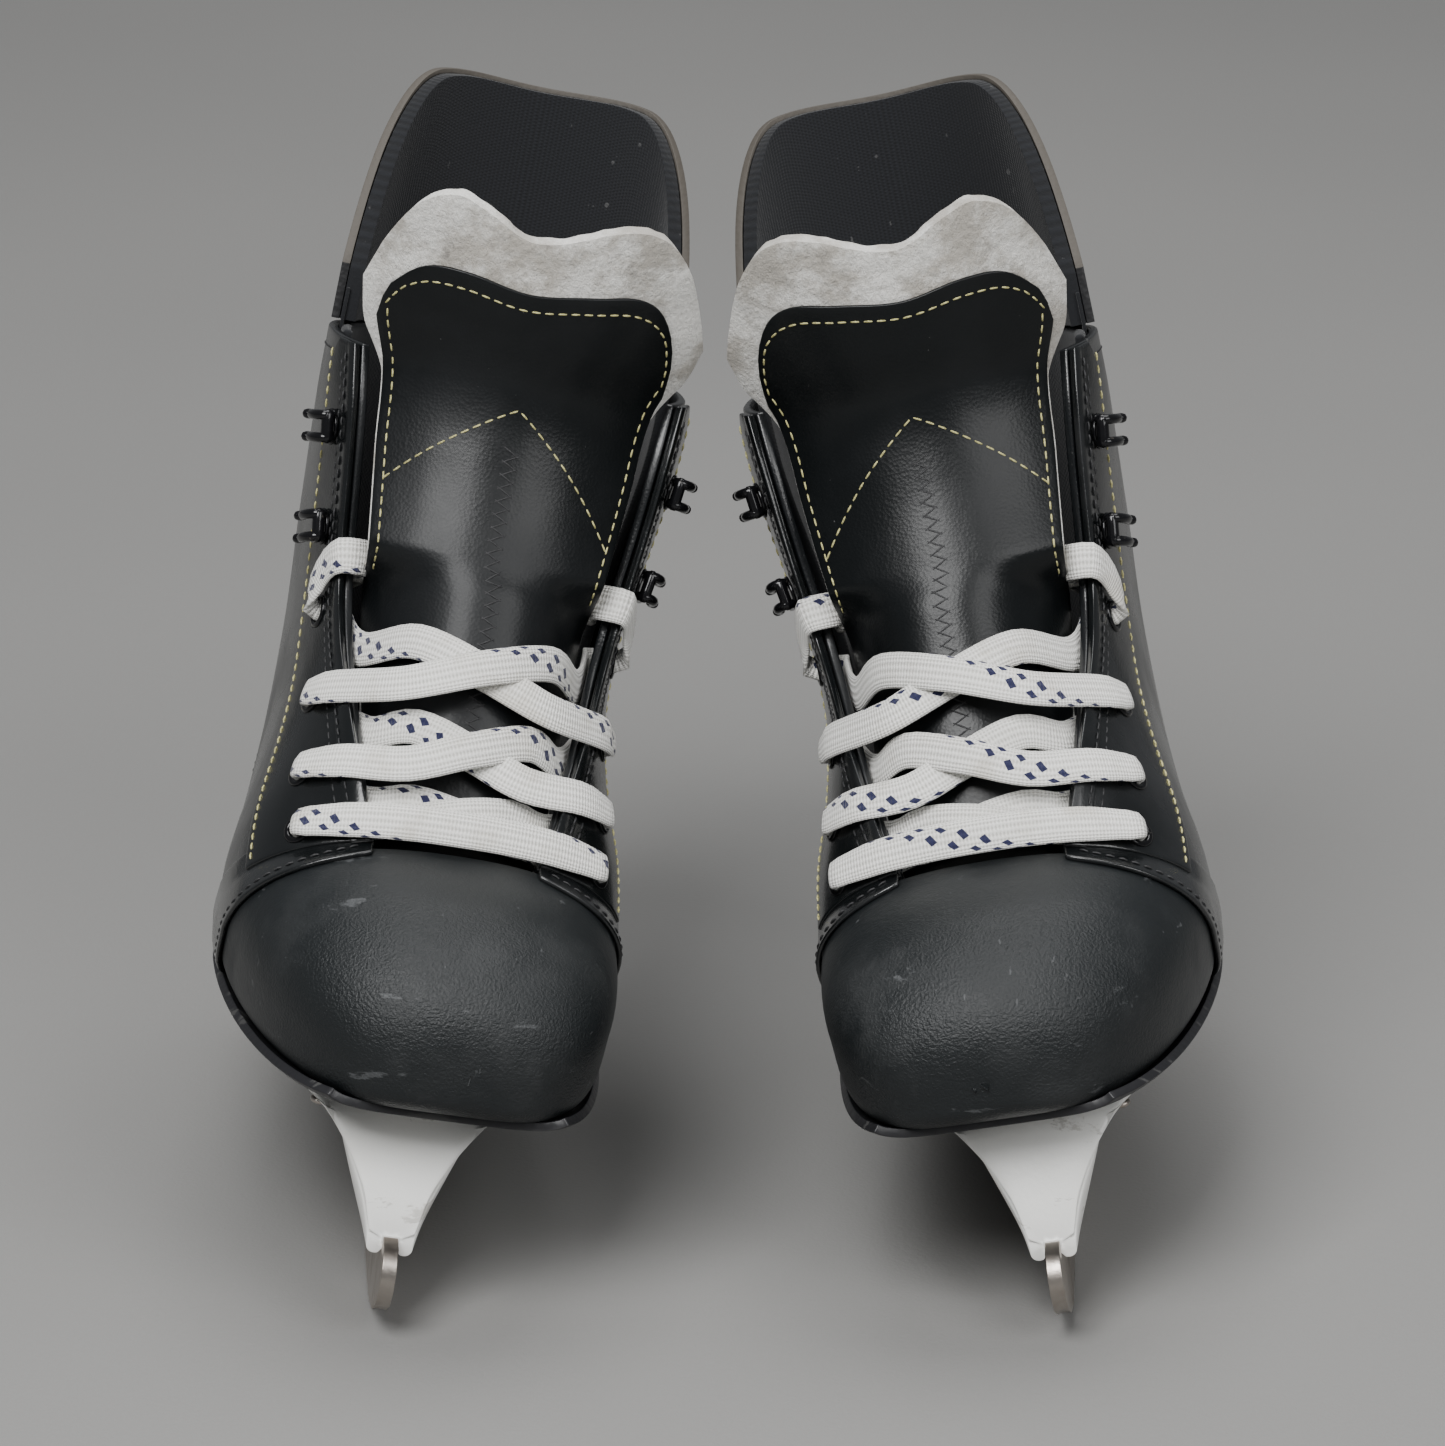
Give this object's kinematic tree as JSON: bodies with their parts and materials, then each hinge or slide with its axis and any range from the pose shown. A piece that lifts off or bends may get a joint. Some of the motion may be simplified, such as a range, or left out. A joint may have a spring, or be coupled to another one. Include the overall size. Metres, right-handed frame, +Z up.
{
  "type": "ice skates",
  "caption": "Pair of junior hockey ice skates: laced boots with a moulded toe cap, felt tongue and tendon guard, on steel runners in moulded holders.",
  "frame": {"origin": "on the ice, under the middle of the pair's box", "axes": "+Z up from the ice, -Y towards the toes, +X towards the left skate"},
  "size_m": [0.2431, 0.2372, 0.2445],
  "materials": {
    "runner_steel": "satin ground steel",
    "bolt_steel": "plated steel",
    "holder_plastic": "satin moulded plastic, scuffed",
    "outsole_composite": "matte composite",
    "footbed_foam": "foam with knit cover",
    "toe_cap_rubber": "pebbled satin, scuffed",
    "quarter_synthetic": "smooth coated synthetic leather",
    "eyestay_synthetic": "smooth coated synthetic leather with stitching",
    "hook_enamel": "gloss enamel",
    "knit_lining": "brushed knit",
    "guard_plastic": "satin plastic",
    "tongue_facing": "smooth coated synthetic leather",
    "tongue_felt": "thick felt, soiled",
    "lace_cotton": "flat woven cotton with dark tracers"
  },
  "bodies": {
    "right_skate": {"right_runner": "runner_steel", "right_holder": "holder_plastic", "right_front_runner_bolt": "bolt_steel", "right_rear_runner_bolt": "bolt_steel", "right_outsole": "outsole_composite", "right_footbed": "footbed_foam", "right_toe_cap": "toe_cap_rubber", "right_lateral_quarter": "quarter_synthetic", "right_medial_quarter": "quarter_synthetic", "right_lateral_eyestay": "eyestay_synthetic", "right_medial_eyestay": "eyestay_synthetic", "right_lateral_lower_hook": "hook_enamel", "right_lateral_upper_hook": "hook_enamel", "right_medial_lower_hook": "hook_enamel", "right_medial_upper_hook": "hook_enamel", "right_ankle_liner": "knit_lining", "right_tongue_base_facing": "tongue_facing", "right_tongue_base_felt": "tongue_felt", "right_lace": "lace_cotton"},
    "right_tongue": {"right_tongue_top_facing": "tongue_facing", "right_tongue_top_felt": "tongue_felt"},
    "right_guard": {"right_tendon_guard": "guard_plastic", "right_guard_pad": "knit_lining"},
    "left_skate": {"left_runner": "runner_steel", "left_holder": "holder_plastic", "left_front_runner_bolt": "bolt_steel", "left_rear_runner_bolt": "bolt_steel", "left_outsole": "outsole_composite", "left_footbed": "footbed_foam", "left_toe_cap": "toe_cap_rubber", "left_lateral_quarter": "quarter_synthetic", "left_medial_quarter": "quarter_synthetic", "left_lateral_eyestay": "eyestay_synthetic", "left_medial_eyestay": "eyestay_synthetic", "left_lateral_lower_hook": "hook_enamel", "left_lateral_upper_hook": "hook_enamel", "left_medial_lower_hook": "hook_enamel", "left_medial_upper_hook": "hook_enamel", "left_ankle_liner": "knit_lining", "left_tongue_base_facing": "tongue_facing", "left_tongue_base_felt": "tongue_felt", "left_lace": "lace_cotton"},
    "left_tongue": {"left_tongue_top_facing": "tongue_facing", "left_tongue_top_felt": "tongue_felt"},
    "left_guard": {"left_tendon_guard": "guard_plastic", "left_guard_pad": "knit_lining"}
  },
  "joints": [
    {"name": "left_skate_lift", "type": "slide", "parent": "right_skate", "child": "left_skate", "axis": [0, 0, 1], "range_m": [0, 0.3]},
    {"name": "right_tongue_fold", "type": "hinge", "parent": "right_skate", "child": "right_tongue", "pos_m": [-0.05421, -0.0181, 0.15132], "axis": [0.9747, 0.0767, -0.21], "range_deg": [0, 35], "stiffness_Nm_per_rad": 0.06},
    {"name": "right_guard_flex", "type": "hinge", "parent": "right_skate", "child": "right_guard", "pos_m": [-0.05825, 0.10515, 0.17566], "axis": [-0.974, -0.0767, 0.213], "range_deg": [0, 25], "stiffness_Nm_per_rad": 0.4},
    {"name": "left_tongue_fold", "type": "hinge", "parent": "left_skate", "child": "left_tongue", "pos_m": [0.05286, -0.01723, 0.15064], "axis": [0.9714, -0.0509, 0.2321], "range_deg": [0, 35], "stiffness_Nm_per_rad": 0.06},
    {"name": "left_guard_flex", "type": "hinge", "parent": "left_skate", "child": "left_guard", "pos_m": [0.05313, 0.10611, 0.17485], "axis": [-0.9706, 0.0509, -0.2351], "range_deg": [0, 25], "stiffness_Nm_per_rad": 0.4}
  ]
}
